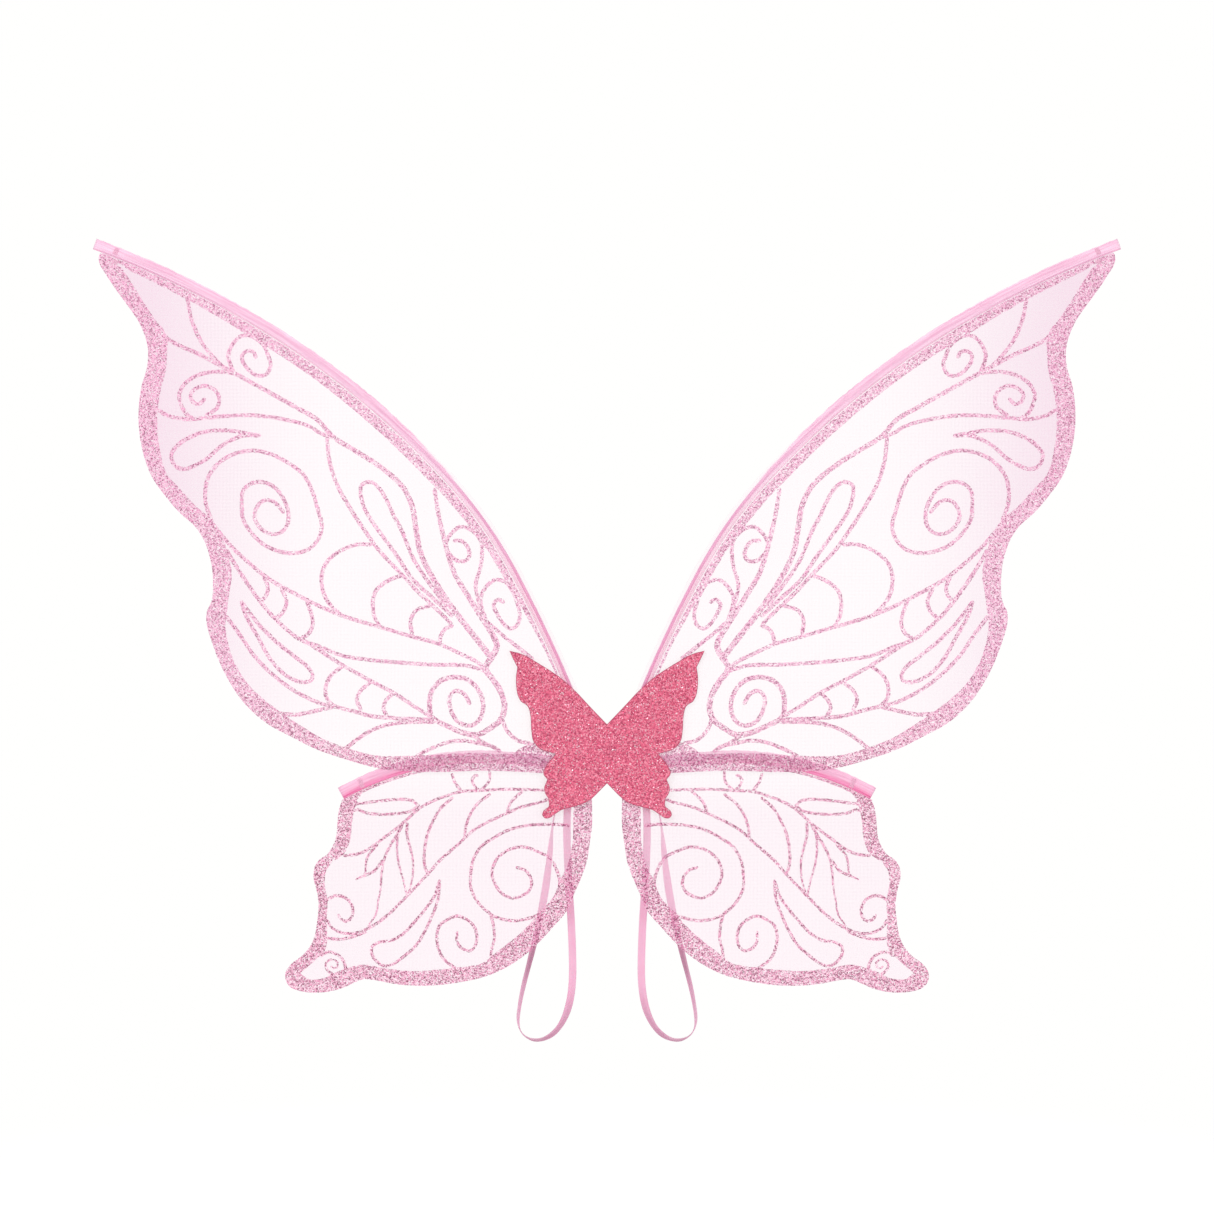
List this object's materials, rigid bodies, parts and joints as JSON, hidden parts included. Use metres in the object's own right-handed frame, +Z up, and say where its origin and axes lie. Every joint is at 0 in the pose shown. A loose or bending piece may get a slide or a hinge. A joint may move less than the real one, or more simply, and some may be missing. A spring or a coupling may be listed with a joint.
{
  "type": "costume fairy wings",
  "caption": "Fairy wings for a costume: sheer printed panels on springy rods, a glitter-foam butterfly over a back pad, and elastic shoulder loops.",
  "frame": {"origin": "centre of the back pad's face that lies on the wearer", "axes": "+X to the right of someone who looks at the butterfly, +Y towards the wearer, +Z up"},
  "size_m": [0.823, 0.0192, 0.6466],
  "materials": {
    "organza": "sheer pale pink organza with a printed glitter border and scrollwork",
    "sleeve_satin": "thin pink satin, stitched into a tunnel",
    "glitter_foam": "rose glitter on flat foam sheet",
    "pad_felt": "brushed felt over foam",
    "spacer_foam": "matte foam",
    "elastic": "flat woven elastic",
    "thread": "polyester thread",
    "rod_fibre": "pink glass-fibre rod",
    "cap_vinyl": "soft translucent vinyl",
    "anchor_plastic": "moulded matte plastic"
  },
  "bodies": {
    "centre": {"back_pad": "pad_felt", "centre_spacer": "spacer_foam", "left_strap_ends": "elastic", "right_strap_ends": "elastic", "left_strap_tacks": "thread", "right_strap_tacks": "thread"},
    "left_wings": {"left_rod_anchor": "anchor_plastic", "left_upper_rod": "rod_fibre", "left_lower_rod": "rod_fibre", "left_upper_rod_cap": "cap_vinyl", "left_lower_rod_cap": "cap_vinyl", "left_upper_sleeve": "sleeve_satin", "left_lower_sleeve": "sleeve_satin", "left_sleeve_tacks": "thread", "left_upper_wing_panel": "organza", "left_lower_wing_panel": "organza", "left_cover_half": "glitter_foam"},
    "right_wings": {"right_rod_anchor": "anchor_plastic", "right_upper_rod": "rod_fibre", "right_lower_rod": "rod_fibre", "right_upper_rod_cap": "cap_vinyl", "right_lower_rod_cap": "cap_vinyl", "right_upper_sleeve": "sleeve_satin", "right_lower_sleeve": "sleeve_satin", "right_sleeve_tacks": "thread", "right_upper_wing_panel": "organza", "right_lower_wing_panel": "organza", "right_cover_half": "glitter_foam"},
    "left_strap": {"left_strap_loop": "elastic"},
    "right_strap": {"right_strap_loop": "elastic"}
  },
  "joints": [
    {"name": "left_fold", "type": "hinge", "parent": "centre", "child": "left_wings", "pos_m": [0, -0.012, 0], "axis": [0, 0, 1], "range_deg": [0, 80], "stiffness_Nm_per_rad": 0.04},
    {"name": "right_fold", "type": "hinge", "parent": "centre", "child": "right_wings", "pos_m": [0, -0.012, 0], "axis": [0, 0, -1], "range_deg": [0, 80], "stiffness_Nm_per_rad": 0.04},
    {"name": "left_strap_swing", "type": "hinge", "parent": "centre", "child": "left_strap", "pos_m": [-0.03375, -0.0034, -0.0255], "axis": [1, 0, 0], "range_deg": [0, 100]},
    {"name": "right_strap_swing", "type": "hinge", "parent": "centre", "child": "right_strap", "pos_m": [0.03375, -0.0034, -0.0255], "axis": [1, 0, 0], "range_deg": [0, 100]}
  ]
}
